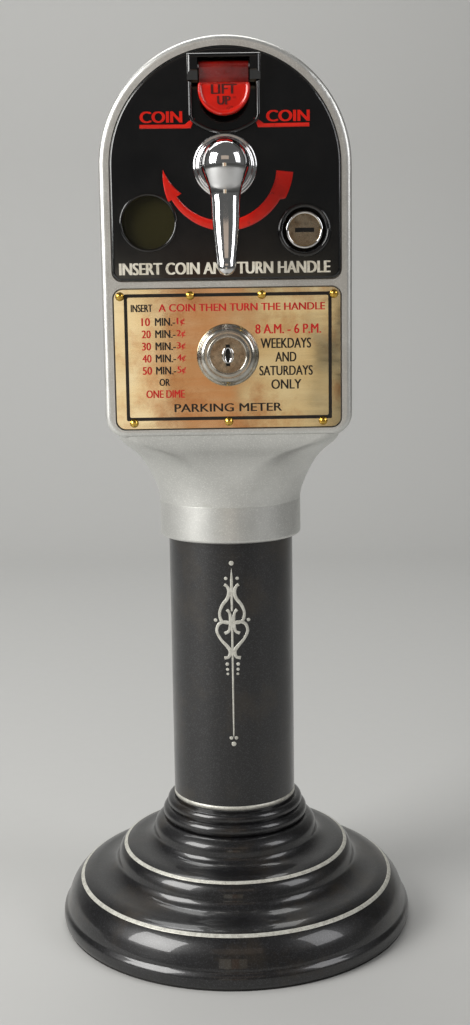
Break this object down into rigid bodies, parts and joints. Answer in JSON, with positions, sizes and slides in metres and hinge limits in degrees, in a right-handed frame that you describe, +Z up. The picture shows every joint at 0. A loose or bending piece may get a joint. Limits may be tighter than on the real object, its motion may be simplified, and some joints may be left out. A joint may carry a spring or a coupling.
{
  "type": "parking meter",
  "caption": "Coin parking meter with an arched cast housing, crank handle, coin flap, window and locked coin door on a short post with a stepped round base.",
  "frame": {"origin": "centre of the round base on the floor", "axes": "+Z up along the post, -Y towards the front face, +X to the right seen from the front"},
  "size_m": [0.175, 0.175, 0.4222],
  "materials": {
    "foot_ring": "matte",
    "base": "gloss",
    "base_collar": "gloss",
    "post": "gloss",
    "base_lock_nut": "rough",
    "housing": "satin paint over casting",
    "collar_screws": "machined",
    "rear_bezel": "polished",
    "rear_bezel_screws": "polished",
    "rear_gasket": "matte",
    "rear_glass": "clear",
    "glass_clips": "satin",
    "coin_guide": "satin",
    "faceplate": "gloss enamel",
    "faceplate_gasket": "matte",
    "coin_pocket": "gloss enamel",
    "coin_chute": "satin",
    "window_glass": "dark tinted",
    "window_seal": "matte",
    "flap_pin": "ground",
    "crank_escutcheon": "polished",
    "crank_bushing": "turned",
    "return_spring": "blued",
    "front_movement_plate": "brushed",
    "rear_movement_plate": "brushed",
    "movement_pillars": "turned",
    "movement_screws": "machined",
    "mainspring": "blued",
    "dial": "satin",
    "dial_posts": "turned",
    "side_lock_ring": "polished",
    "side_lock_body": "turned",
    "side_lock_nut": "satin",
    "flap": "gloss enamel",
    "crank_handle": "polished",
    "crank_shaft": "ground",
    "crank_gear": "cut",
    "stop_arm": "satin",
    "winding_gear": "cut",
    "pawl": "hardened",
    "time_arbor": "ground",
    "ratchet_wheel": "cut",
    "great_wheel": "cut",
    "time_hand": "gloss",
    "second_wheel": "cut",
    "escape_wheel": "cut",
    "pallet_lever": "hardened",
    "balance_wheel": "polished",
    "expired_flag": "gloss",
    "side_lock_plug": "nickel plated",
    "side_lock_cam": "satin",
    "coin_door": "painted",
    "rate_plate": "polished",
    "plate_screws": "polished",
    "door_lock_body": "nickel plated",
    "door_lock_nut": "satin",
    "coin_box": "satin",
    "coin_box_arms": "satin",
    "door_lock_plug": "nickel plated",
    "door_lock_bar": "satin"
  },
  "bodies": {
    "stand_and_housing": {"foot_ring": "foot_ring", "base": "base", "base_collar": "base_collar", "post": "post", "base_lock_nut": "base_lock_nut", "housing": "housing", "collar_screws": "collar_screws", "rear_bezel": "rear_bezel", "rear_bezel_screws": "rear_bezel_screws", "rear_gasket": "rear_gasket", "rear_glass": "rear_glass", "glass_clips": "glass_clips", "coin_guide": "coin_guide"},
    "works": {"faceplate": "faceplate", "faceplate_gasket": "faceplate_gasket", "coin_pocket": "coin_pocket", "coin_chute": "coin_chute", "window_glass": "window_glass", "window_seal": "window_seal", "flap_pin": "flap_pin", "crank_escutcheon": "crank_escutcheon", "crank_bushing": "crank_bushing", "return_spring": "return_spring", "front_movement_plate": "front_movement_plate", "rear_movement_plate": "rear_movement_plate", "movement_pillars": "movement_pillars", "movement_screws": "movement_screws", "mainspring": "mainspring", "dial": "dial", "dial_posts": "dial_posts", "side_lock_ring": "side_lock_ring", "side_lock_body": "side_lock_body", "side_lock_nut": "side_lock_nut"},
    "flap": {"flap": "flap"},
    "crank": {"crank_handle": "crank_handle", "crank_shaft": "crank_shaft", "crank_gear": "crank_gear", "stop_arm": "stop_arm"},
    "winder": {"winding_gear": "winding_gear", "pawl": "pawl"},
    "clock": {"time_arbor": "time_arbor", "ratchet_wheel": "ratchet_wheel", "great_wheel": "great_wheel", "time_hand": "time_hand"},
    "second": {"second_wheel": "second_wheel"},
    "escape": {"escape_wheel": "escape_wheel"},
    "lever": {"pallet_lever": "pallet_lever"},
    "balance": {"balance_wheel": "balance_wheel"},
    "flag": {"expired_flag": "expired_flag"},
    "side_key": {"side_lock_plug": "side_lock_plug", "side_lock_cam": "side_lock_cam"},
    "door": {"coin_door": "coin_door", "rate_plate": "rate_plate", "plate_screws": "plate_screws", "door_lock_body": "door_lock_body", "door_lock_nut": "door_lock_nut", "coin_box": "coin_box", "coin_box_arms": "coin_box_arms"},
    "door_key": {"door_lock_plug": "door_lock_plug", "door_lock_bar": "door_lock_bar"}
  },
  "joints": [
    {"name": "works_slide", "type": "slide", "parent": "stand_and_housing", "child": "works", "axis": [0, -1, 0], "range_m": [0, 0.12]},
    {"name": "flap_hinge", "type": "hinge", "parent": "works", "child": "flap", "pos_m": [0, -0.0516, 0.4086], "axis": [-1, 0, 0], "range_deg": [0, 70]},
    {"name": "crank_turn", "type": "hinge", "parent": "works", "child": "crank", "pos_m": [0, -0.05, 0.3666], "axis": [0, 1, 0], "range_deg": [0, 120], "stiffness_Nm_per_rad": 0.02},
    {"name": "winder_turn", "type": "hinge", "parent": "works", "child": "winder", "pos_m": [0, 0, 0.3426], "axis": [0, 1, 0], "range_deg": [-40, 0]},
    {"name": "clock_turn", "type": "hinge", "parent": "works", "child": "clock", "pos_m": [0, 0, 0.3426], "axis": [0, -1, 0], "range_deg": [0, 150]},
    {"name": "second_turn", "type": "hinge", "parent": "works", "child": "second", "pos_m": [0.01949, 0, 0.35385], "axis": [0, -1, 0], "range_deg": [-600, 0]},
    {"name": "escape_turn", "type": "hinge", "parent": "works", "child": "escape", "pos_m": [0.02711, 0, 0.37098], "axis": [0, -1, 0], "range_deg": [0, 2400]},
    {"name": "lever_rock", "type": "hinge", "parent": "works", "child": "lever", "pos_m": [0.016, 0, 0.3815], "axis": [0, 1, 0], "range_deg": [-6, 6]},
    {"name": "balance_swing", "type": "hinge", "parent": "works", "child": "balance", "pos_m": [0.006, 0, 0.386], "axis": [0, 1, 0], "range_deg": [-120, 120], "stiffness_Nm_per_rad": 0.0002},
    {"name": "flag_drop", "type": "hinge", "parent": "works", "child": "flag", "pos_m": [-0.03, 0, 0.352], "axis": [0, 1, 0], "range_deg": [0, 75]},
    {"name": "side_key_turn", "type": "hinge", "parent": "works", "child": "side_key", "pos_m": [0.0344, -0.045, 0.3388], "axis": [0, -1, 0], "range_deg": [0, 90]},
    {"name": "door_slide", "type": "slide", "parent": "stand_and_housing", "child": "door", "axis": [0, -1, 0], "range_m": [0, 0.12]},
    {"name": "door_key_turn", "type": "hinge", "parent": "door", "child": "door_key", "pos_m": [0, -0.045, 0.2846], "axis": [0, -1, 0], "range_deg": [0, 90]}
  ],
  "couplings": [
    {"joint": "winder_turn", "follows": "crank_turn", "ratio": -0.33333},
    {"joint": "second_turn", "follows": "clock_turn", "ratio": -4},
    {"joint": "escape_turn", "follows": "clock_turn", "ratio": 16}
  ]
}
